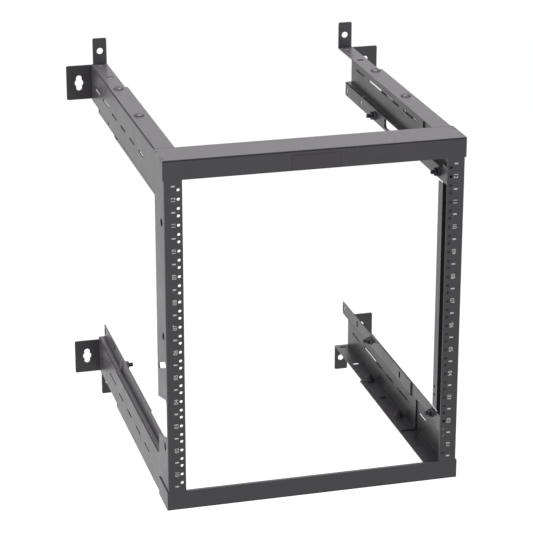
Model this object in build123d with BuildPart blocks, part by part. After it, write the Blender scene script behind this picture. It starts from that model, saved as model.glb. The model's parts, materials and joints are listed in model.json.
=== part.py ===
from build123d import *
import os

os.makedirs("parts", exist_ok=True)

# Rack grid: twelve units, three fixing holes in each, in millimetres
UNIT = 44.45
UNITS = 12
HOLE_ROWS = (6.35, 22.225, 38.1)      # hole heights inside one unit
HOLE_SPACING = 465.1                  # between the two hole columns
HOLE_R = 2.75

# The sheet steel that every pressed piece is made of
SHEET = 2.0
BEND_R = 0.6                          # inside radius of a fold
NEST = 0.3                            # gap between a bracket and the arm round it

# Posts
HOLE_EDGE = 24.05                     # from a hole column to the outside of the web
POST_FACE = 30.6                      # width of the drilled front face
POST_DEPTH = 71.0
POST_OVER = 10.0                      # the face runs past the units at each end
RETURN_W = 13.5                       # inward return along the rear edge
POST_LIP = 19.7                       # lip that runs back from the return
RETURN_GAP = 3.7                      # between the post's lip and the arm's lip
RETURN_BEVEL = 18.0                   # slope at the return's ends
LIP_HOLES = (81.0, 97.0)              # two small holes low in the lip
LIP_HOLE_Y = 82.2
LIP_HOLE_R = 3.0
WEB_HOLE_R = 7.5
WEB_HOLE_Y = 21.0
WEB_HOLE_STEP = 200.0

# Cable openings in the left post's web
NOTCH_LOW = 88.0                      # its lower and upper edge beside the face
NOTCH_HIGH = 157.6
NOTCH_FRONT = 6.0                     # web left standing beside the face
NOTCH_FALL = 18.0                     # both edges fall by this much towards the rear
NOTCH_R = 8.0
OPENING_LENGTH = 60.0
OPENING_HEIGHT = 10.2
OPENING_TILT = -22.2                  # degrees, it falls towards the rear too
OPENING_Y = 35.0
OPENING_Z = 210.0
LEFT_RETURN_LOW = 224.0               # the left return starts above both openings

# Cross bars
BAR_HEIGHT = 34.0
BAR_DEPTH = 69.7
EAR_DEPTH = 68.0
EAR_RELIEF = (9.0, 20.0, 53.0, 66.0)  # slits beside the two corner tabs
RELIEF_WIDTH = 1.6
RELIEF_DEPTH = 3.2
RELIEF_IN = 5.0                       # how far a slit runs in from the ear's outside

# Nameplate, left bare
PLATE_WIDTH = 86.0
PLATE_HEIGHT = 26.8
PLATE_THICK = 0.6
PLATE_LIFT = 0.6                      # above the bar's lower edge
PLATE_R = 1.0

# Arms, one piece with each post
ARM_START = 70.5
ARM_END = 452.0
ARM_HEIGHT = 75.4
ARM_FLANGE = 34.6
ARM_LIP = 22.2
LIP_START = 50.0                      # the lip reaches forward into the post
LIP_TAB = 9.0                         # and stands up there, above the arm's underside
CORNER_R = 5.0
EDGE_R = 3.0
ARM_SLOT = 40.0
ARM_SLOT_HEIGHT = 4.2
ARM_SLOT_PITCH = 76.0
ARM_SLOT_Y = 176.0
ARM_SLOTS = 4
SLOT_DROP = 40.4                      # slots below the arm's top face

# Opening in the upper arms' lips
WINDOW_LENGTH = 90.0
WINDOW_HEIGHT = 18.0
WINDOW_Y = 344.0
WINDOW_DROP = 8.6                     # its middle, below the arm's underside
WINDOW_R = 6.0

# Wall brackets, nested inside the arms
DEPTH = 632.0                         # rack face to wall
BRACKET_START = 206.0
BRACKET_FLANGE = 29.3
FRONT_SLOT = (35.0, 109.0)            # ends of the web's front slot, behind the bracket's front end
LONG_SLOT_FRONT = 135.0               # the long slot's front end, behind the same
LONG_SLOT_REAR = 110.0                # its rear end, before the wall
REAR_SLOT = (83.0, 31.0)              # ends of the rear slot, before the wall
BOLT_SLOT = 12.0
BOLT_SLOT_WIDTH = 8.5
BOLT_SLOT_R = 1.5
FLANGE_ROW = 267.5                    # first row of slots in the flange
LIP_ROW = 270.0                       # and in the lip
ROW_PITCH = 88.0
ROW_EDGE = 9.0                        # the last row's least distance to the wall

# Wall feet of a bracket
FOOT_REACH = 45.4                     # outward foot's edge, beyond the post
FOOT_HEIGHT = 65.0
FOOT_DROP = 3.0                       # below the arm's top face
FOOT_R = 3.0
CLOVER_IN = 23.5                      # from the foot's outer edge
CLOVER_DROP = 36.4                    # below the arm's top face
CLOVER_R = 8.0
LOBE_R = 5.5
LOBE_STEP = 9.0
TAB_BESIDE = 3.3                      # from the web's outside to the upright tab
TAB_WIDTH = 26.0
TAB_HEIGHT = 46.6                     # above the arm's top face
WALL_HOLE_IN = 13.5                   # from the tab's outer edge
WALL_HOLE_RISE = 22.1
WALL_HOLE_R = 6.0

# Round-headed bolts and flanged nuts
BOLT_R = 4.0
BOLT_HOLE_R = 4.25
BOLT_IN = 16.4                        # flange bolts, from the web's outside
SLOT_SHIFT = 1.8                      # their slots sit a little further in
FRONT_BOLT_Y = 92.0                   # lip bolt just behind the post
LIP_BOLT_DROP = 11.0                  # lip bolts and slots, below the arm's underside
SHORT_BOLT = 16.0
LONG_BOLT = 20.0
DOME_R = 9.5
DOME_RIM = 0.8
DOME_HEIGHT = 4.4
NUT_ACROSS = 13.0
NUT_HEIGHT = 8.0
NUT_RIM_R = 8.9
NUT_RIM = 1.2                         # thickness of the rim at its edge
NUT_SKIRT = 3.0                       # where the rim's slope meets the hexagon
NUT_EDGE = 0.7
NUT_PLAY = 0.2                        # round the thread

# Where the row's origin lies: on the upper left foot, at the wall
ORIGIN_OUT = 5.4                      # beyond the post
ORIGIN_HEIGHT = 541.7

# Sizes that follow from the ones above
GRID = UNIT * UNITS
POST_OUT = HOLE_SPACING / 2 + HOLE_EDGE
FOOT_OUT = POST_OUT + FOOT_REACH
CENTRE_X = POST_OUT + ORIGIN_OUT
MIDDLE = GRID / 2
FACE_TOP = GRID + POST_OVER
TOP = FACE_TOP + BAR_HEIGHT
WEB_IN = POST_OUT - SHEET
POST_IN = POST_OUT - POST_FACE
RETURN_IN = POST_OUT - RETURN_W
BAR_HALF = POST_OUT + SHEET
ARM_UNDER = TOP - ARM_HEIGHT
LIP_EDGE = ARM_UNDER - ARM_LIP
RETURN_TOP = LIP_EDGE - RETURN_GAP
ARM_MOUTH = POST_OUT - ARM_FLANGE
SLOT_Z = TOP - SLOT_DROP
LIP_BOLT_Z = ARM_UNDER - LIP_BOLT_DROP
WINDOW_Z = ARM_UNDER - WINDOW_DROP
OUT_R = SHEET + BEND_R
WALL_FACE = DEPTH - SHEET
BOLT_X = POST_OUT - BOLT_IN
CLOVER_X = FOOT_OUT - CLOVER_IN
CLOVER_Z = TOP - CLOVER_DROP

# Rows of bolt slots from the first one back to the wall, but none across the window
ROWS = range(int((DEPTH - ROW_EDGE - LIP_ROW) / ROW_PITCH) + 1)
FLANGE_SLOTS = [FLANGE_ROW + i * ROW_PITCH for i in ROWS]
LIP_SLOTS = [
    y for y in (LIP_ROW + i * ROW_PITCH for i in ROWS)
    if abs(y - WINDOW_Y) > WINDOW_LENGTH / 2 + BOLT_SLOT_WIDTH
]
FLANGE_BOLTS = (FLANGE_ROW, FLANGE_ROW + 2 * ROW_PITCH)
LIP_BOLTS = (FRONT_BOLT_Y, LIP_ROW + 2 * ROW_PITCH)

# The bracket's section is the arm's, one sheet and one gap further in
STEP = SHEET + NEST
B_OUT = POST_OUT - STEP
B_TOP = TOP - STEP
B_UNDER = ARM_UNDER + STEP
B_LIP_IN = RETURN_IN - STEP
B_LIP_EDGE = LIP_EDGE + NEST
B_MOUTH = B_OUT - BRACKET_FLANGE
TAB_OUT = B_OUT - TAB_BESIDE
TAB_IN = TAB_OUT - TAB_WIDTH

# Rack planes: front face, side of the centre plane, level of the lowest unit
CORNER = (CENTRE_X, -DEPTH, -ORIGIN_HEIGHT)
FRONT = Plane(origin=CORNER, x_dir=(1, 0, 0), z_dir=(0, -1, 0))
SIDE = Plane(origin=CORNER, x_dir=(0, 1, 0), z_dir=(1, 0, 0))
LEVEL = Plane(origin=CORNER, x_dir=(1, 0, 0), z_dir=(0, 0, 1))
MIDDLE_PLANE = LEVEL.offset(MIDDLE)


# The corner of a sketch nearest to a point of its own plane
def corner(x, y):
    return vertices().sort_by_distance((x, y, 0))[0]


# Side panel, right hand: post and both arms are folded from one C-shaped sheet
with BuildPart() as panel_blank:
    # Drilled face and web of the post
    with BuildSketch(LEVEL.offset(-POST_OVER)):
        with BuildLine():
            Polyline(
                (POST_IN, 0), (POST_OUT, 0), (POST_OUT, POST_DEPTH),
                (WEB_IN, POST_DEPTH), (WEB_IN, SHEET), (POST_IN, SHEET), close=True,
            )
        make_face()
        fillet(corner(POST_OUT, 0), OUT_R)
        fillet(corner(WEB_IN, SHEET), BEND_R)
    extrude(amount=GRID + 2 * POST_OVER)
    # Web up behind the top bar, with the rounded corner under the arm
    with BuildSketch(SIDE.offset(WEB_IN)):
        with BuildLine():
            Polyline(
                (SHEET, MIDDLE), (SHEET, TOP - SHEET), (POST_DEPTH + 2 * CORNER_R, TOP - SHEET),
                (POST_DEPTH + 2 * CORNER_R, ARM_UNDER), (POST_DEPTH, ARM_UNDER),
                (POST_DEPTH, MIDDLE), close=True,
            )
        make_face()
        fillet(corner(POST_DEPTH, ARM_UNDER), CORNER_R)
        fillet(corner(SHEET, TOP - SHEET), BEND_R)
    extrude(amount=SHEET)
    # Upper arm: wide flange, web, narrow return and hanging lip
    with BuildSketch(FRONT.offset(-ARM_START)):
        with BuildLine():
            Polyline(
                (ARM_MOUTH, TOP), (POST_OUT, TOP), (POST_OUT, ARM_UNDER),
                (RETURN_IN + SHEET, ARM_UNDER), (RETURN_IN + SHEET, LIP_EDGE), (RETURN_IN, LIP_EDGE),
                (RETURN_IN, ARM_UNDER + SHEET), (WEB_IN, ARM_UNDER + SHEET),
                (WEB_IN, TOP - SHEET), (ARM_MOUTH, TOP - SHEET), close=True,
            )
        make_face()
        for x, z in ((POST_OUT, TOP), (POST_OUT, ARM_UNDER), (RETURN_IN, ARM_UNDER + SHEET)):
            fillet(corner(x, z), OUT_R)
        for x, z in ((WEB_IN, TOP - SHEET), (WEB_IN, ARM_UNDER + SHEET), (RETURN_IN + SHEET, ARM_UNDER)):
            fillet(corner(x, z), BEND_R)
    extrude(amount=ARM_START - ARM_END)
    # The lip reaches further forward than the return above it
    with BuildSketch(FRONT.offset(-LIP_START)):
        with Locations((RETURN_IN + SHEET / 2, (ARM_UNDER + LIP_TAB + LIP_EDGE) / 2)):
            Rectangle(SHEET, ARM_LIP + LIP_TAB)
    extrude(amount=LIP_START - ARM_START)
    mirror(about=MIDDLE_PLANE)
    # Fixing holes in the post's face
    with BuildSketch(FRONT):
        with Locations([(HOLE_SPACING / 2, UNIT * u + row) for u in range(UNITS) for row in HOLE_ROWS]):
            Circle(HOLE_R)
    extrude(amount=-SHEET, mode=Mode.SUBTRACT)
    # Round holes in the post's web, and a row of slots in each arm
    with BuildSketch(SIDE.offset(WEB_IN)):
        with Locations([(WEB_HOLE_Y, MIDDLE + i * WEB_HOLE_STEP) for i in (-1, 0, 1)]):
            Circle(WEB_HOLE_R)
        with Locations([
            (ARM_SLOT_Y + i * ARM_SLOT_PITCH, z) for i in range(ARM_SLOTS) for z in (SLOT_Z, GRID - SLOT_Z)
        ]):
            SlotOverall(ARM_SLOT, ARM_SLOT_HEIGHT)
    extrude(amount=SHEET, mode=Mode.SUBTRACT)
    # Holes for the flange bolts of both arms
    for level in (TOP - SHEET, GRID - TOP):
        with BuildSketch(LEVEL.offset(level)):
            with Locations([(BOLT_X, y) for y in FLANGE_BOLTS]):
                Circle(BOLT_HOLE_R)
        extrude(amount=SHEET, mode=Mode.SUBTRACT)
    # Holes for the lip bolts, and the window in the upper lip
    with BuildSketch(SIDE.offset(RETURN_IN)):
        with Locations([(y, z) for y in LIP_BOLTS for z in (LIP_BOLT_Z, GRID - LIP_BOLT_Z)]):
            Circle(BOLT_HOLE_R)
        with Locations((WINDOW_Y, WINDOW_Z)):
            RectangleRounded(WINDOW_LENGTH, WINDOW_HEIGHT, WINDOW_R)
    extrude(amount=SHEET, mode=Mode.SUBTRACT)

# Return along a post's rear edge, with its lip and its sloping ends
with BuildPart() as rear_return:
    with BuildSketch(FRONT.offset(SHEET - POST_DEPTH)):
        with BuildLine():
            Polyline(
                (RETURN_IN, RETURN_TOP), (WEB_IN, RETURN_TOP + RETURN_BEVEL),
                (WEB_IN, GRID - RETURN_TOP - RETURN_BEVEL), (RETURN_IN, GRID - RETURN_TOP), close=True,
            )
        make_face()
    extrude(amount=-SHEET)
    with BuildSketch(SIDE.offset(RETURN_IN)):
        with BuildLine():
            Polyline(
                (POST_DEPTH - SHEET, RETURN_TOP), (POST_DEPTH + POST_LIP, RETURN_TOP),
                (POST_DEPTH + POST_LIP, GRID - RETURN_TOP), (POST_DEPTH - SHEET, GRID - RETURN_TOP),
                close=True,
            )
        make_face()
        fillet(corner(POST_DEPTH + POST_LIP, RETURN_TOP), EDGE_R)
        fillet(corner(POST_DEPTH + POST_LIP, GRID - RETURN_TOP), EDGE_R)
        with Locations([(LIP_HOLE_Y, z) for z in LIP_HOLES]):
            Circle(LIP_HOLE_R, mode=Mode.SUBTRACT)
    extrude(amount=SHEET)

with BuildPart() as right_side_panel:
    add(panel_blank.part)
    add(rear_return.part)
right_side_panel.part.label = "right_side_panel"

# The left return is shorter, so that the openings below it stay clear
with BuildPart() as left_return:
    mirror(rear_return.part, about=SIDE)
    split(bisect_by=LEVEL.offset(LEFT_RETURN_LOW), keep=Keep.TOP)

with BuildPart() as left_side_panel:
    mirror(panel_blank.part, about=SIDE)
    add(left_return.part)
    with BuildSketch(SIDE.offset(-POST_OUT)):
        # Notch that is open to the rear
        with BuildLine():
            Polyline(
                (NOTCH_FRONT, NOTCH_LOW), (POST_DEPTH, NOTCH_LOW - NOTCH_FALL),
                (POST_DEPTH, NOTCH_HIGH - NOTCH_FALL), (NOTCH_FRONT, NOTCH_HIGH), close=True,
            )
        make_face()
        fillet(corner(NOTCH_FRONT, NOTCH_LOW), NOTCH_R)
        fillet(corner(NOTCH_FRONT, NOTCH_HIGH), NOTCH_R)
        # Long hole above it
        with Locations((OPENING_Y, OPENING_Z)):
            SlotOverall(OPENING_LENGTH, OPENING_HEIGHT, rotation=OPENING_TILT)
    extrude(amount=SHEET, mode=Mode.SUBTRACT)
left_side_panel.part.label = "left_side_panel"

# Top bar: face, top flange, and an ear folded back over each post's web
with BuildPart() as top_bar:
    with BuildSketch(SIDE.offset(-BAR_HALF)):
        with BuildLine():
            Polyline(
                (0, FACE_TOP), (0, TOP), (BAR_DEPTH, TOP), (BAR_DEPTH, TOP - SHEET),
                (SHEET, TOP - SHEET), (SHEET, FACE_TOP), close=True,
            )
        make_face()
        fillet(corner(0, TOP), OUT_R)
        fillet(corner(SHEET, TOP - SHEET), BEND_R)
    extrude(amount=2 * BAR_HALF)
    with BuildSketch(LEVEL.offset(FACE_TOP)):
        with Locations((POST_OUT + SHEET / 2, EAR_DEPTH / 2), (-POST_OUT - SHEET / 2, EAR_DEPTH / 2)):
            Rectangle(SHEET, EAR_DEPTH)
    extrude(amount=BAR_HEIGHT - SHEET)
    # Slits beside the tabs that close the two top corners
    with BuildSketch(LEVEL.offset(TOP - RELIEF_DEPTH)):
        with Locations([(side * BAR_HALF, y) for side in (-1, 1) for y in EAR_RELIEF]):
            Rectangle(2 * RELIEF_IN, RELIEF_WIDTH)
    extrude(amount=RELIEF_DEPTH, mode=Mode.SUBTRACT)
top_bar.part.label = "top_bar"

with BuildPart() as bottom_bar:
    mirror(top_bar.part, about=MIDDLE_PLANE)
bottom_bar.part.label = "bottom_bar"

# Thin bare plate on the top bar's face
with BuildPart() as nameplate:
    with BuildSketch(FRONT):
        with Locations((0, FACE_TOP + PLATE_LIFT + PLATE_HEIGHT / 2)):
            RectangleRounded(PLATE_WIDTH, PLATE_HEIGHT, PLATE_R)
    extrude(amount=PLATE_THICK)
nameplate.part.label = "nameplate"

# Wall bracket, right hand: a channel like the arm's, slotted so that it slides
with BuildPart() as bracket:
    with BuildSketch(FRONT.offset(-BRACKET_START)):
        with BuildLine():
            Polyline(
                (B_MOUTH, B_TOP), (B_OUT, B_TOP), (B_OUT, B_UNDER),
                (B_LIP_IN + SHEET, B_UNDER), (B_LIP_IN + SHEET, B_LIP_EDGE), (B_LIP_IN, B_LIP_EDGE),
                (B_LIP_IN, B_UNDER + SHEET), (B_OUT - SHEET, B_UNDER + SHEET),
                (B_OUT - SHEET, B_TOP - SHEET), (B_MOUTH, B_TOP - SHEET), close=True,
            )
        make_face()
        for x, z in ((B_OUT, B_TOP), (B_OUT, B_UNDER), (B_LIP_IN, B_UNDER + SHEET)):
            fillet(corner(x, z), OUT_R)
        for x, z in ((B_OUT - SHEET, B_TOP - SHEET), (B_OUT - SHEET, B_UNDER + SHEET)):
            fillet(corner(x, z), BEND_R)
        fillet(corner(B_LIP_IN + SHEET, B_UNDER), BEND_R)
    extrude(amount=BRACKET_START - DEPTH)
    # Feet that lie flat on the wall: one outward, one up
    with BuildSketch(FRONT.offset(-WALL_FACE)):
        with BuildLine():
            Polyline(
                (B_OUT - SHEET, TOP - FOOT_DROP), (FOOT_OUT, TOP - FOOT_DROP),
                (FOOT_OUT, TOP - FOOT_DROP - FOOT_HEIGHT), (B_OUT - SHEET, TOP - FOOT_DROP - FOOT_HEIGHT),
                close=True,
            )
        make_face()
        fillet(corner(FOOT_OUT, TOP - FOOT_DROP), FOOT_R)
        fillet(corner(FOOT_OUT, TOP - FOOT_DROP - FOOT_HEIGHT), FOOT_R)
        with Locations((CLOVER_X, CLOVER_Z)):
            Circle(CLOVER_R, mode=Mode.SUBTRACT)
        with Locations((CLOVER_X, CLOVER_Z + LOBE_STEP), (CLOVER_X, CLOVER_Z - LOBE_STEP)):
            Circle(LOBE_R, mode=Mode.SUBTRACT)
        with BuildLine():
            Polyline(
                (TAB_IN, B_TOP - SHEET), (TAB_OUT, B_TOP - SHEET), (TAB_OUT, TOP + TAB_HEIGHT),
                (TAB_IN, TOP + TAB_HEIGHT), close=True,
            )
        make_face()
        fillet(corner(TAB_IN, TOP + TAB_HEIGHT), FOOT_R)
        fillet(corner(TAB_OUT, TOP + TAB_HEIGHT), FOOT_R)
        with Locations((TAB_OUT - WALL_HOLE_IN, TOP + WALL_HOLE_RISE)):
            Circle(WALL_HOLE_R, mode=Mode.SUBTRACT)
    extrude(amount=-SHEET)
    # Three slots in line along the web
    with BuildSketch(SIDE.offset(B_OUT - SHEET)):
        for start, end in (
            (BRACKET_START + FRONT_SLOT[0], BRACKET_START + FRONT_SLOT[1]),
            (BRACKET_START + LONG_SLOT_FRONT, DEPTH - LONG_SLOT_REAR),
            (DEPTH - REAR_SLOT[0], DEPTH - REAR_SLOT[1]),
        ):
            with Locations(((start + end) / 2, SLOT_Z)):
                SlotOverall(end - start, ARM_SLOT_HEIGHT)
    extrude(amount=SHEET, mode=Mode.SUBTRACT)
    # Cross slots for the bolts, five in the flange and four in the lip
    with BuildSketch(LEVEL.offset(B_TOP - SHEET)):
        with Locations([(BOLT_X - SLOT_SHIFT, y) for y in FLANGE_SLOTS]):
            RectangleRounded(BOLT_SLOT, BOLT_SLOT_WIDTH, BOLT_SLOT_R)
    extrude(amount=SHEET, mode=Mode.SUBTRACT)
    with BuildSketch(SIDE.offset(B_LIP_IN)):
        with Locations([(y, LIP_BOLT_Z) for y in LIP_SLOTS]):
            RectangleRounded(BOLT_SLOT_WIDTH, BOLT_SLOT, BOLT_SLOT_R)
    extrude(amount=SHEET, mode=Mode.SUBTRACT)

# The upper brackets have the same window in the lip as the arms round them
with BuildPart() as upper_right_bracket:
    add(bracket.part)
    with BuildSketch(SIDE.offset(B_LIP_IN)):
        with Locations((WINDOW_Y, WINDOW_Z)):
            RectangleRounded(WINDOW_LENGTH, WINDOW_HEIGHT, WINDOW_R)
    extrude(amount=SHEET, mode=Mode.SUBTRACT)
upper_right_bracket.part.label = "upper_right_bracket"

with BuildPart() as upper_left_bracket:
    mirror(upper_right_bracket.part, about=SIDE)
upper_left_bracket.part.label = "upper_left_bracket"

with BuildPart() as lower_right_bracket:
    mirror(bracket.part, about=MIDDLE_PLANE)
lower_right_bracket.part.label = "lower_right_bracket"

with BuildPart() as lower_left_bracket:
    mirror(lower_right_bracket.part, about=SIDE)
lower_left_bracket.part.label = "lower_left_bracket"

# Bolts with a low domed head that seats at zero, the shank pointing down
bolts = {}
for length in (SHORT_BOLT, LONG_BOLT):
    with BuildPart() as bolt:
        with BuildSketch(Plane.XZ):
            with BuildLine():
                Polyline(
                    (0, DOME_HEIGHT), (0, -length), (BOLT_R, -length), (BOLT_R, 0),
                    (DOME_R, 0), (DOME_R, DOME_RIM),
                )
                TangentArc((0, DOME_HEIGHT), (DOME_R, DOME_RIM), tangent=(1, 0))
            make_face()
        revolve(axis=Axis.Z)
    bolts[length] = bolt.part

# Flanged nut: its wide rim at the seat, the hexagon below
with BuildPart() as nut:
    with BuildSketch(Plane.XZ):
        with BuildLine():
            Polyline(
                (0, 0), (NUT_RIM_R, 0), (NUT_RIM_R, -NUT_RIM),
                (NUT_ACROSS / 2, -NUT_SKIRT), (0, -NUT_SKIRT), close=True,
            )
        make_face()
    revolve(axis=Axis.Z)
    with BuildSketch():
        RegularPolygon(NUT_ACROSS / 2, 6, major_radius=False)
    extrude(amount=-NUT_HEIGHT)
    chamfer(faces().sort_by(Axis.Z)[0].edges(), NUT_EDGE)
    with BuildSketch():
        Circle(BOLT_R + NUT_PLAY)
    extrude(amount=-NUT_HEIGHT, mode=Mode.SUBTRACT)

# Where each bolt seats on the upper right arm, what it grips there, and its length
RACK = Location(CORNER)
TO_SIDE = Location((0, 0, 0), (0, 90, 0))
NESTED = 2 * SHEET + NEST
SEATS = {
    "flange_front": (RACK * Pos(BOLT_X, FLANGE_BOLTS[0], TOP), NESTED, SHORT_BOLT),
    "flange_rear": (RACK * Pos(BOLT_X, FLANGE_BOLTS[1], TOP), NESTED, SHORT_BOLT),
    "lip_front": (RACK * Pos(RETURN_IN + SHEET, LIP_BOLTS[0], LIP_BOLT_Z) * TO_SIDE, SHEET, SHORT_BOLT),
    "lip_rear": (RACK * Pos(RETURN_IN + SHEET, LIP_BOLTS[1], LIP_BOLT_Z) * TO_SIDE, NESTED, LONG_BOLT),
}
fixings = []
for seat, (place, grip, length) in SEATS.items():
    under = place * Pos(0, 0, -grip)
    for piece, shape in (("bolt", bolts[length].moved(place)), ("nut", nut.part.moved(under))):
        for hand in ("left", "right"):
            sided = shape if hand == "right" else mirror(shape, about=SIDE)
            for height in ("upper", "lower"):
                with BuildPart() as fixing:
                    add(sided if height == "upper" else mirror(sided, about=MIDDLE_PLANE))
                fixing.part.label = f"{height}_{hand}_{seat}_{piece}"
                fixings.append(fixing)

pressings = [
    left_side_panel, right_side_panel, top_bar, bottom_bar, nameplate,
    upper_left_bracket, upper_right_bracket, lower_left_bracket, lower_right_bracket,
]
for made in pressings + fixings:
    export_step(made.part, f"parts/{made.part.label}.step")
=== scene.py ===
import bpy
import json
import math
import numpy as np
from mathutils import Euler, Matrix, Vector


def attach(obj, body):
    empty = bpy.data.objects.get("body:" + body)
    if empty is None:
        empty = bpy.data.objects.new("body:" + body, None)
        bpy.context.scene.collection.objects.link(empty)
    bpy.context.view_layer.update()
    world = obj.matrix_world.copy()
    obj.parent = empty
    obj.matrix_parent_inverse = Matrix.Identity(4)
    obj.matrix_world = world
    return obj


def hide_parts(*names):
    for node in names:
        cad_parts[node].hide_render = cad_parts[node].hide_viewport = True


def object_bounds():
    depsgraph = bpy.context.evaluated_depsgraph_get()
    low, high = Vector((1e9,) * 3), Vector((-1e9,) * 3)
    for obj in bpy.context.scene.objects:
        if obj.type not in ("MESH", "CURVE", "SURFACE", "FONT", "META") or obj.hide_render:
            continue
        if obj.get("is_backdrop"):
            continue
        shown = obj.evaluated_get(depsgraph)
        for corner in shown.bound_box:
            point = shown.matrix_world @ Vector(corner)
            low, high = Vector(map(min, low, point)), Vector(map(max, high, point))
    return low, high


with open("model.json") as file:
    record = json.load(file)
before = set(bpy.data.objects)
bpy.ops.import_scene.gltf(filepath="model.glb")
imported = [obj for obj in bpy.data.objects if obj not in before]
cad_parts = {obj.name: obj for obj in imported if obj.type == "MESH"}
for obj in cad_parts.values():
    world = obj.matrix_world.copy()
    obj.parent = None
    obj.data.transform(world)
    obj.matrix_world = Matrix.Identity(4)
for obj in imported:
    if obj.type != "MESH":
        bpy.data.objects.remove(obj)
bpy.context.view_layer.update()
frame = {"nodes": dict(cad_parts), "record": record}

scene = bpy.context.scene
scene.view_settings.view_transform = "Standard"
mm = 0.001

# Where the rack's own centre plane, front face and lowest unit lie in the row's frame
rack = {"centreX": 262.0, "frontY": -632.0, "unitOneZ": -541.7, "unit": 44.45, "units": 12}


def place(x, y, z):  # rack millimetres to row metres, for single values and arrays
    return ((x + rack["centreX"]) * mm, (y + rack["frontY"]) * mm, (z + rack["unitOneZ"]) * mm)


# Camera

photoCamera = {
    "position": (-708.18, -3947.46, 1096.69),  # millimetres, solved from the photograph's holes
    "turn": (69.889, 0.0, -14.942),  # degrees
    "lens": 149.63,
    "sensor": 36.0,
    "near": 0.1,  # metres
    "far": 60.0,
}


def makeCamera(s):
    data = bpy.data.cameras.new("photoCamera")
    data.lens, data.sensor_width = s["lens"], s["sensor"]
    data.clip_start, data.clip_end = s["near"], s["far"]
    camera = bpy.data.objects.new("photoCamera", data)
    camera.location = Vector(s["position"]) * mm
    camera.rotation_euler = Euler([math.radians(a) for a in s["turn"]])
    scene.collection.objects.link(camera)
    scene.camera = camera


makeCamera(photoCamera)
print("camera made")


# Materials

def linear(code, alpha=1.0):  # sRGB hex value to the linear colour that Blender wants
    v = np.array([int(code[i:i + 2], 16) for i in (1, 3, 5)]) / 255
    v = np.where(v <= 0.04045, v / 12.92, ((v + 0.055) / 1.055) ** 2.4)
    return (*v.tolist(), alpha)


def addNode(tree, kind, at, values=None, **settings):  # one node, its settings, its inputs or links
    node = tree.nodes.new(kind)
    node.location = at
    for name, value in settings.items():
        setattr(node, name, value)
    for key, value in (values or {}).items():
        if isinstance(value, bpy.types.NodeSocket):
            tree.links.new(value, node.inputs[key])
        else:
            node.inputs[key].default_value = value
    return node


def newMaterial(name):
    material = bpy.data.materials.new(name)
    material.use_nodes = True
    tree = material.node_tree
    shader = tree.nodes["Principled BSDF"]
    shader.location = (300, 0)
    return material, tree, shader


powderCoat = {
    "base": "#3d3a3e",
    "pale": "#434044",
    "roughness": 0.34,
    "roughnessSpread": 0.04,
    "peel": 2.2,  # millimetres between the bumps of the baked powder
    "peelDepth": 0.035,
    "peelStrength": 0.25,
    "cloud": 60.0,  # millimetres, slow change of gloss where the powder lay thicker
    "cloudRange": (0.3, 0.7),  # noise levels that give the least and the most roughness
    "index": 1.5,
    "slantRange": (0.01, 0.06),  # slant at which a fold's painted shade and dulling start and are full
    "paintedFoldShade": 0.2,  # painted shade: the colour is darkened to this share over a level outer fold
    "foldRoughness": 0.85,
}


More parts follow.
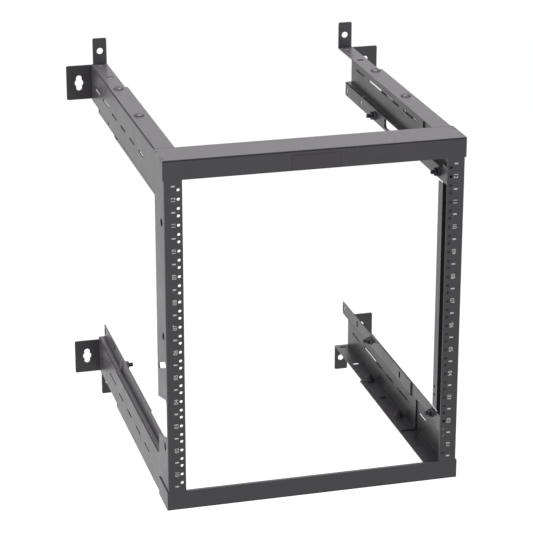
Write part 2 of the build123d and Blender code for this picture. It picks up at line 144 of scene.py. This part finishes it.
def powderCoatedSteel(name, s):
    # Sheet steel under baked polyester powder: even and satin, with a fine orange peel that breaks up
    # reflections. The real peel is about 1 mm, drawn a little coarser so that it shows.
    material, tree, shader = newMaterial(name)
    where = addNode(tree, "ShaderNodeTexCoord", (-1100, 0)).outputs["Object"]
    peel = addNode(tree, "ShaderNodeTexNoise", (-800, -300),
                   {"Vector": where, "Scale": 1 / (s["peel"] * mm), "Detail": 2.0, "Roughness": 0.45})
    cloud = addNode(tree, "ShaderNodeTexNoise", (-800, 100),
                    {"Vector": where, "Scale": 1 / (s["cloud"] * mm), "Detail": 3.0, "Roughness": 0.6})
    colour = addNode(tree, "ShaderNodeMix", (-300, 200), {"Factor": cloud.outputs["Fac"]}, data_type="RGBA")
    colour.inputs[6].default_value = linear(s["base"])
    colour.inputs[7].default_value = linear(s["pale"])
    gloss = addNode(tree, "ShaderNodeMapRange", (-300, -50), {
        "Value": cloud.outputs["Fac"],
        "From Min": s["cloudRange"][0], "From Max": s["cloudRange"][1],
        "To Min": s["roughness"] - s["roughnessSpread"], "To Max": s["roughness"] + s["roughnessSpread"]})
    bump = addNode(tree, "ShaderNodeBump", (0, -300), {
        "Height": peel.outputs["Fac"], "Strength": s["peelStrength"], "Distance": s["peelDepth"] * mm})
    # Slant: the upright part of the normal less its square, which is nothing on level and upright faces
    # and a quarter at most between them.
    facing = addNode(tree, "ShaderNodeSeparateXYZ", (-900, 500), {
        0: addNode(tree, "ShaderNodeNewGeometry", (-1100, 500)).outputs["True Normal"]})
    upright = addNode(tree, "ShaderNodeMath", (-700, 500), {0: facing.outputs["Z"]}, operation="ABSOLUTE")
    square = addNode(tree, "ShaderNodeMath", (-500, 600), {0: upright.outputs[0], 1: 2.0},
                     operation="POWER")
    slant = addNode(tree, "ShaderNodeMath", (-300, 500), {0: upright.outputs[0], 1: square.outputs[0]},
                    operation="SUBTRACT")
    shade = addNode(tree, "ShaderNodeMapRange", (-100, 450), {
        "Value": slant.outputs[0], "From Min": s["slantRange"][0], "From Max": s["slantRange"][1]})
    # Painted shade: a dark line is painted into the colour along level outer folds, picked out by the slant
    # of the normal, while upright folds keep their colour. The roughness rises over the same folds.
    foldShadeFactor = addNode(tree, "ShaderNodeMapRange", (100, 500), {
        "Value": shade.outputs["Result"], "To Min": 1.0, "To Max": s["paintedFoldShade"]})
    dull = addNode(tree, "ShaderNodeMapRange", (100, 100), {
        "Value": shade.outputs["Result"], "To Min": gloss.outputs["Result"], "To Max": s["foldRoughness"]})
    foldShadedColour = addNode(tree, "ShaderNodeMix", (100, 300), {"Factor": 1.0}, data_type="RGBA",
                     blend_type="MULTIPLY")
    tree.links.new(colour.outputs[2], foldShadedColour.inputs[6])
    tree.links.new(foldShadeFactor.outputs["Result"], foldShadedColour.inputs[7])
    tree.links.new(foldShadedColour.outputs[2], shader.inputs["Base Color"])
    tree.links.new(dull.outputs["Result"], shader.inputs["Roughness"])
    tree.links.new(bump.outputs["Normal"], shader.inputs["Normal"])
    shader.inputs["IOR"].default_value = s["index"]
    return material


blackZinc = {"colour": "#443f45", "smoothest": 0.42, "roughest": 0.6, "grain": 1.2, "index": 1.35}


def blackZincSteel(name, s):
    # Turned steel with a black zinc coat: near black, with a slightly uneven gloss.
    material, tree, shader = newMaterial(name)
    where = addNode(tree, "ShaderNodeTexCoord", (-800, 0)).outputs["Object"]
    grain = addNode(tree, "ShaderNodeTexNoise", (-500, 0),
                    {"Vector": where, "Scale": 1 / (s["grain"] * mm), "Detail": 2.0})
    gloss = addNode(tree, "ShaderNodeMapRange", (-200, 0), {
        "Value": grain.outputs["Fac"], "To Min": s["smoothest"], "To Max": s["roughest"]})
    tree.links.new(gloss.outputs["Result"], shader.inputs["Roughness"])
    shader.inputs["Base Color"].default_value = linear(s["colour"])
    shader.inputs["IOR"].default_value = s["index"]
    return material


plateEnamel = {"colour": "#3c383d", "smoothest": 0.35, "roughest": 0.45, "flow": 3.0}


def bakedEnamel(name, s):
    # Thin aluminium plate under baked enamel: smoother than the powder round it.
    material, tree, shader = newMaterial(name)
    where = addNode(tree, "ShaderNodeTexCoord", (-800, 0)).outputs["Object"]
    flow = addNode(tree, "ShaderNodeTexNoise", (-500, 0),
                   {"Vector": where, "Scale": 1 / (s["flow"] * mm), "Detail": 1.0})
    gloss = addNode(tree, "ShaderNodeMapRange", (-200, 0), {
        "Value": flow.outputs["Fac"], "To Min": s["smoothest"], "To Max": s["roughest"]})
    tree.links.new(gloss.outputs["Result"], shader.inputs["Roughness"])
    shader.inputs["Base Color"].default_value = linear(s["colour"])
    return material


printInk = {"colour": "#fbfafb", "worn": "#e8e6e8", "roughness": 0.6, "mesh": 0.35}


def screenPrintInk(name, s):
    # Silk-screened epoxy ink: near white, matte, a little thin where the mesh of the screen shows.
    material, tree, shader = newMaterial(name)
    where = addNode(tree, "ShaderNodeTexCoord", (-800, 0)).outputs["Object"]
    screen = addNode(tree, "ShaderNodeTexNoise", (-500, 0),
                     {"Vector": where, "Scale": 1 / (s["mesh"] * mm), "Detail": 1.0})
    colour = addNode(tree, "ShaderNodeMix", (-100, 0), {"Factor": screen.outputs["Fac"]}, data_type="RGBA")
    colour.inputs[6].default_value = linear(s["colour"])
    colour.inputs[7].default_value = linear(s["worn"])
    tree.links.new(colour.outputs[2], shader.inputs["Base Color"])
    shader.inputs["Roughness"].default_value = s["roughness"]
    return material


steelFinish = powderCoatedSteel("powderCoatedSteel", powderCoat)
boltFinish = blackZincSteel("blackZincSteel", blackZinc)
plateFinish = bakedEnamel("bakedEnamel", plateEnamel)
inkFinish = screenPrintInk("screenPrintInk", printInk)
finishes = {"powder_coat": steelFinish, "nameplate": plateFinish, "black_zinc": boltFinish}
slotOf = {entry["node"]: entry["material_slot"] for entry in frame["record"]["subparts"]}
for nodeName, holder in frame["nodes"].items():
    for materialSlot in holder.material_slots:
        materialSlot.material = finishes[slotOf[nodeName]]
print("materials made")


# Surfaces of revolution and other ringed shapes

def ringMesh(name, points, material, poles=None, crease=30.0):
    # Rings of points joined by four-sided faces. Each ring closes on itself. With two poles, a fan closes
    # each end, and without them the last ring joins the first.
    rows, columns = points.shape[:2]
    i = np.arange(rows if poles is None else rows - 1)[:, None]
    j = np.arange(columns)[None, :]
    i2, j2 = (i + 1) % rows, (j + 1) % columns
    faces = np.stack([i * columns + j, i * columns + j2, i2 * columns + j2, i2 * columns + j], -1)
    faces = faces.reshape(-1, 4).tolist()
    corners = points.reshape(-1, 3)
    if poles is not None:
        corners = np.concatenate([corners, np.array(poles)])
        ring, last, first = np.arange(columns), (rows - 1) * columns, rows * columns
        following = (ring + 1) % columns
        faces += np.stack([np.full(columns, first), following, ring], -1).tolist()
        faces += np.stack([last + ring, last + following, np.full(columns, first + 1)], -1).tolist()
    mesh = bpy.data.meshes.new(name)
    mesh.from_pydata(corners.tolist(), [], faces)
    return dressed(name, mesh, material, crease)


def dressed(name, mesh, material, crease=30.0):  # a mesh made into a shaded piece of the rack
    mesh.materials.append(material)
    mesh.shade_smooth()
    mesh.set_sharp_from_angle(angle=math.radians(crease))
    piece = bpy.data.objects.new(name, mesh)
    scene.collection.objects.link(piece)
    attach(piece, "root")
    return piece


def turned(name, radius, height, seat, facing, material, poles=None, crease=30.0):
    # Rings round an axis through the seat, from the end that faces outwards to the other.
    # Radius is given for each ring and column, height above the seat for each ring.
    columns = radius.shape[1]
    angle = -2 * math.pi * np.arange(columns) / columns
    axis, across = np.array(facing, float), np.array((0.0, 1.0, 0.0))
    beside = np.cross(axis, across)
    around = np.cos(angle)[:, None] * across + np.sin(angle)[:, None] * beside
    points = np.array(seat) + radius[..., None] * around + height[:, None, None] * axis
    ends = None if poles is None else [np.array(seat) + level * axis for level in poles]
    if ends is not None:
        ends = [place(*end) for end in ends]
    return ringMesh(name, np.stack(place(*np.moveaxis(points, -1, 0)), -1), material, ends, crease)


# Round-headed bolts with a rolled thread, in place of the CAD's plain ones

roundBolt = {
    "headRadius": 9.5, "headHeight": 4.4, "rim": 0.8, "edge": 0.25,
    "crownStart": 0.04,  # share of the head's arc that lies inside its first ring
    "crownRings": 14,
    "shank": 4.0, "pitch": 1.25, "threadDepth": 0.68, "point": 0.9, "pointRadius": 3.1,
    "neck": 0.2, "threadStart": 0.1,  # past the shank's radius under the head, and below the seat
    "columns": 32, "ringsPerTurn": 9, "crease": 38.0,
}


def makeBolt(name, s, seat, facing, length):
    # Head: a circle's arc, level at the top, down to the rim. Shank: the radius dips by a triangle wave
    # whose phase is height over pitch less the turn round the axis, which makes a right-hand thread.
    columns = s["columns"]
    rise = s["headHeight"] - s["rim"]
    ball = (s["headRadius"] ** 2 + rise ** 2) / (2 * rise)
    swing = np.linspace(s["crownStart"], 1, s["crownRings"]) * math.asin(s["headRadius"] / ball)
    headR = np.r_[ball * np.sin(swing), s["headRadius"], s["headRadius"] - s["edge"], s["shank"] + s["neck"]]
    headH = np.r_[s["headHeight"] - ball * (1 - np.cos(swing)), s["edge"], 0.0, 0.0]
    turns = (length - s["point"]) / s["pitch"]
    shankH = -np.linspace(s["threadStart"], length - s["point"], int(turns * s["ringsPerTurn"]))
    turn = -np.arange(columns) / columns
    wave = np.abs(2 * np.mod(shankH[:, None] / s["pitch"] - turn, 1) - 1)
    depth = s["threadDepth"] * np.clip(-shankH / s["pitch"], 0, 1)[:, None]
    shankR = s["shank"] - depth * (1 - wave)
    tip = np.full((1, columns), s["pointRadius"])
    radius = np.concatenate([np.repeat(headR[:, None], columns, 1), shankR, tip])
    height = np.r_[headH, shankH, -length]
    poles = (s["headHeight"], -length)
    return turned(name, radius, height, seat, facing, boltFinish, poles, s["crease"])


# Flanged hexagon nuts

flangeNut = {
    "across": 13.0, "height": 8.0, "rimRadius": 8.9, "rim": 1.2, "edge": 0.3, "skirt": 3.0,
    "topRadius": 6.2, "topSlope": 1.7, "columns": 72, "crease": 22.0,
    "bore": 4.1, "mouth": 0.3, "mouthTop": 0.5,  # the bore's bevel at the seat and at the top
    "skirtPast": 0.4,  # the skirt's rings run this far past its edge
    "flatsFrom": 1.0,  # from the skirt's edge to the flats' first ring, and from their last one to the top
    "topFrom": 0.9,  # where the finer rings of the trimmed corners start, below the top
    "turnStep": 17.0,  # degrees from each nut's turn to the next one's, as a spanner leaves them
}


def makeNut(name, s, seat, facing, twist):
    # Outside: the larger of the skirt's cone and the hexagon, whose corners a second cone trims at the top.
    # Hexagon: half the width across flats over the cosine of the angle from the middle of the flat.
    columns = s["columns"]
    turn = np.mod(360.0 * np.arange(columns) / columns + twist, 60.0) - 30.0
    hexagon = s["across"] / 2 / np.cos(np.radians(turn))[None, :]
    depth = np.r_[np.linspace(s["rim"], s["skirt"] + s["skirtPast"], 10),
                  np.linspace(s["skirt"] + s["flatsFrom"], s["height"] - s["flatsFrom"], 4),
                  np.linspace(s["height"] - s["topFrom"], s["height"], 7)][:, None]
    cone = s["topRadius"] + (s["height"] - depth) * s["topSlope"]
    skirt = s["rimRadius"] - s["edge"] - (depth - s["rim"]) / (s["skirt"] - s["rim"]) * (
        s["rimRadius"] - s["edge"] - s["across"] / 2)
    side = np.maximum(np.minimum(hexagon, cone), skirt)
    startR = np.array([s["bore"] + s["mouth"], s["rimRadius"] - s["edge"], s["rimRadius"], s["rimRadius"]])
    startD = np.array([0.0, 0.0, s["edge"], s["rim"] - s["edge"]])
    endR = np.array([s["bore"] + s["mouthTop"], s["bore"], s["bore"]])
    endD = np.array([s["height"], s["height"] - s["mouthTop"], s["mouth"]])
    flat = [np.repeat(part[:, None], columns, 1) for part in (startR, endR)]
    radius = np.concatenate([flat[0], side, flat[1]])
    height = -np.r_[startD, depth[:, 0], endD]
    return turned(name, radius, height, seat, facing, boltFinish, None, s["crease"])


fixings = {  # on the upper right arm: the head's seat, the way it faces, the sheets gripped, the length
    "flange_front": ((240.2, 267.5, 577.4), (0, 0, 1), 4.3, 16.0),
    "flange_rear": ((240.2, 443.5, 577.4), (0, 0, 1), 4.3, 16.0),
    "lip_front": ((245.1, 92.0, 491.0), (1, 0, 0), 2.0, 16.0),
    "lip_rear": ((245.1, 446.0, 491.0), (1, 0, 0), 4.3, 20.0),
}


def makeFixings(seats):
    top = rack["unit"] * rack["units"]
    twist = 0.0
    for where, (seat, facing, grip, length) in seats.items():
        for hand, sideways in (("left", -1), ("right", 1)):
            for height, up in (("upper", 1), ("lower", -1)):
                label = f"{height}_{hand}_{where}"
                x, y, z = sideways * seat[0], seat[1], seat[2] if up > 0 else top - seat[2]
                way = (sideways * facing[0], 0, up * facing[2])
                bolt = makeBolt(label + "_bolt_threaded", roundBolt, (x, y, z), way, length)
                under = (x - way[0] * grip, y, z - way[2] * grip)
                twist += flangeNut["turnStep"]
                nut = makeNut(label + "_nut_turned", flangeNut, under, way, twist)
                for piece, node in ((bolt, label + "_bolt"), (nut, label + "_nut")):
                    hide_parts(node)


makeFixings(fixings)
print("bolts and nuts made")


# Plate on the top bar, pressed with a raised rim and left bare

barePlate = {"width": 86.0, "height": 26.8, "corner": 1.0, "thick": 0.6, "middleZ": 557.4,
             "rim": 0.9, "sunk": 0.45, "round": 0.2, "slope": 0.4, "sharpest": 0.05, "crease": 12.0}


def roundedRing(halfWidth, halfHeight, radius, perCorner=8):  # closed outline, anticlockwise from the front
    swing = np.radians(np.linspace(0, 90, perCorner))
    turn = (np.arange(4)[:, None] * math.pi / 2 + swing[None, :]).ravel()
    alongX = np.repeat([1, -1, -1, 1], perCorner) * (halfWidth - radius)
    alongZ = np.repeat([1, 1, -1, -1], perCorner) * (halfHeight - radius)
    return alongX + radius * np.cos(turn), alongZ + radius * np.sin(turn)


def makePlate(s):
    # Rings from the back edge round the rim's top and down into the field: inset and height for each.
    steps = ((0.0, 0.0), (0.0, s["thick"] - s["round"]), (s["round"], s["thick"]), (s["rim"], s["thick"]),
             (s["rim"] + s["slope"], s["thick"] - s["sunk"]))
    rings = []
    for inset, height in steps:
        corner = max(s["corner"] - inset, s["sharpest"])
        x, z = roundedRing(s["width"] / 2 - inset, s["height"] / 2 - inset, corner)
        rings.append(np.stack(place(x, -height + 0 * x, s["middleZ"] + z), -1))
    back, front = place(0, 0, s["middleZ"]), place(0, s["sunk"] - s["thick"], s["middleZ"])
    piece = ringMesh("bare_plate_pressed", np.array(rings), plateFinish, (back, front), s["crease"])
    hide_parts("nameplate")


makePlate(barePlate)
print("plate made")


# Printed marks beside the holes of both posts

unitMarks = {"middleX": 241.4, "tickLength": 6.5, "tickWidth": 2.6, "tickCorner": 0.4, "ink": 0.05,
             "digitHeight": 7.2, "pairLength": 9.0, "boldness": 0.008}


def makeTicks(name, s, sideways):
    # One flat stamp with rounded corners at every unit's edge, thirteen to a post.
    levels = np.arange(rack["units"] + 1) * rack["unit"]
    x, z = roundedRing(s["tickLength"] / 2, s["tickWidth"] / 2, s["tickCorner"], 5)
    count = len(x)
    base = np.stack([np.r_[x, x, 0], np.r_[0 * x, 0 * x - s["ink"], -s["ink"]], np.r_[z, z, 0]], -1)
    stamps = base[None] + np.stack([0 * levels + sideways * s["middleX"], 0 * levels, levels], -1)[:, None]
    ring = np.arange(count)
    following = (ring + 1) % count
    wall = np.stack([ring, following, following + count, ring + count], -1)
    lid = np.stack([ring + count, following + count, np.full(count, 2 * count)], -1)
    shift = (np.arange(len(levels)) * len(base))[:, None, None]
    faces = (wall[None] + shift).reshape(-1, 4).tolist() + (lid[None] + shift).reshape(-1, 3).tolist()
    mesh = bpy.data.meshes.new(name)
    mesh.from_pydata(np.stack(place(*stamps.reshape(-1, 3).T), -1).tolist(), [], faces)
    return dressed(name, mesh, inkFinish)


def digitPoints(words, boldness):  # corners and faces of a flat text, its left foot at the origin
    curve = bpy.data.curves.new("stencil", "FONT")
    curve.body, curve.offset = words, boldness
    stencil = bpy.data.objects.new("stencil", curve)
    flat = bpy.data.meshes.new_from_object(stencil)
    points = np.array([v.co for v in flat.vertices])
    faces = [list(f.vertices) for f in flat.polygons]
    bpy.data.objects.remove(stencil)
    bpy.data.curves.remove(curve)
    bpy.data.meshes.remove(flat)
    return points, faces


def makeNumbers(name, s, sideways):
    # Two figures to a unit, lying on their side: the right post reads downwards and the left one upwards.
    sample = digitPoints("08", s["boldness"])[0]
    spread = sample.max(0) - sample.min(0)
    corners, faces, used = [], [], 0
    for unit in range(rack["units"]):
        points, cells = digitPoints(f"{unit + 1:02d}", s["boldness"])
        points = points - (points.max(0) + points.min(0)) / 2
        along, up = points[:, 0] * s["pairLength"] / spread[0], points[:, 1] * s["digitHeight"] / spread[1]
        x = sideways * (s["middleX"] + up)
        z = (unit + 0.5) * rack["unit"] - sideways * along
        corners.append(np.stack(place(x, 0 * x - s["ink"], z), -1))
        faces += [[used + i for i in cell] for cell in cells]
        used += len(points)
    mesh = bpy.data.meshes.new(name)
    mesh.from_pydata(np.concatenate(corners).tolist(), [], faces)
    return dressed(name, mesh, inkFinish)


for hand, sideways in (("left", -1), ("right", 1)):
    for piece in (makeTicks(hand + "_unit_ticks", unitMarks, sideways),
                  makeNumbers(hand + "_unit_numbers", unitMarks, sideways)):
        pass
print("marks made")


# Stage and light

stage = {
    "drop": 0.55,
    "size": 14.0,
    "paper": "#6e6e6e",  # the floor as it lights the rack and takes its shadow
    "glow": 0.88,  # added for the camera, so that the paper shows as white
    "mirrored": 0.8,  # glow of the floor where the satin coat mirrors it
    "roughness": 0.9,
}


def makeStage(s):
    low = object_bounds()[0].z - s["drop"]
    half = s["size"] / 2
    corners = [(-half, -half, low), (half, -half, low), (half, half, low), (-half, half, low)]
    mesh = bpy.data.meshes.new("studioFloor")
    mesh.from_pydata(corners, [], [(0, 1, 2, 3)])
    floor = bpy.data.objects.new("studioFloor", mesh)
    scene.collection.objects.link(floor)
    material, tree, shader = newMaterial("whitePaperFloor")
    shader.inputs["Base Color"].default_value = linear(s["paper"])
    shader.inputs["Roughness"].default_value = s["roughness"]
    path = addNode(tree, "ShaderNodeLightPath", (-500, 0))
    glow = addNode(tree, "ShaderNodeMath", (-300, 0), {0: path.outputs["Is Camera Ray"], 1: s["glow"]},
                   operation="MULTIPLY")
    white = addNode(tree, "ShaderNodeMath", (0, -100), {
        0: path.outputs["Is Glossy Ray"], 1: s["mirrored"], 2: glow.outputs[0]}, operation="MULTIPLY_ADD")
    shader.inputs["Emission Color"].default_value = (1, 1, 1, 1)
    tree.links.new(white.outputs[0], shader.inputs["Emission Strength"])
    mesh.materials.append(material)
    floor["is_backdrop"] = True


studio = {
    "world": 0.38,
    "softboxes": {  # place, aim, size in metres, power in watts
        "topSoftbox": ((0.5, 0.2, 2.58), (0.5, 0.0, -0.3), 0.2, 120.0),
        "leftSoftbox": ((-4.1, 0.0, -0.12), (0.26, -0.3, -0.3), 0.35, 120.0),
        "frontSoftbox": ((0.8, -4.5, 0.6), (0.26, -0.6, -0.3), 2.5, 34.0),
    },
}


def makeStudio(s):
    world = bpy.data.worlds.new("studioWorld")
    scene.world = world
    world.use_nodes = True
    tree = world.node_tree
    path = addNode(tree, "ShaderNodeLightPath", (-700, 200))
    mirrored = addNode(tree, "ShaderNodeMath", (-500, 100), {
        0: path.outputs["Is Glossy Ray"], 1: path.outputs["Is Transmission Ray"]}, operation="MAXIMUM")
    seen = addNode(tree, "ShaderNodeMath", (-300, 200), {
        0: path.outputs["Is Camera Ray"], 1: mirrored.outputs[0]}, operation="MAXIMUM")
    level = addNode(tree, "ShaderNodeMapRange", (-100, 200), {
        "Value": seen.outputs[0], "To Min": s["world"], "To Max": 1.0})
    tree.links.new(level.outputs["Result"], tree.nodes["Background"].inputs["Strength"])
    tree.nodes["Background"].inputs["Color"].default_value = (1, 1, 1, 1)
    for name, (position, aim, size, power) in s["softboxes"].items():
        data = bpy.data.lights.new(name, "AREA")
        data.shape, data.size, data.energy = "SQUARE", size, power
        lamp = bpy.data.objects.new(name, data)
        lamp.location = position
        lamp.rotation_euler = (Vector(aim) - Vector(position)).to_track_quat("-Z", "Y").to_euler()
        scene.collection.objects.link(lamp)


makeStage(stage)
makeStudio(studio)
print("stage and lights made")
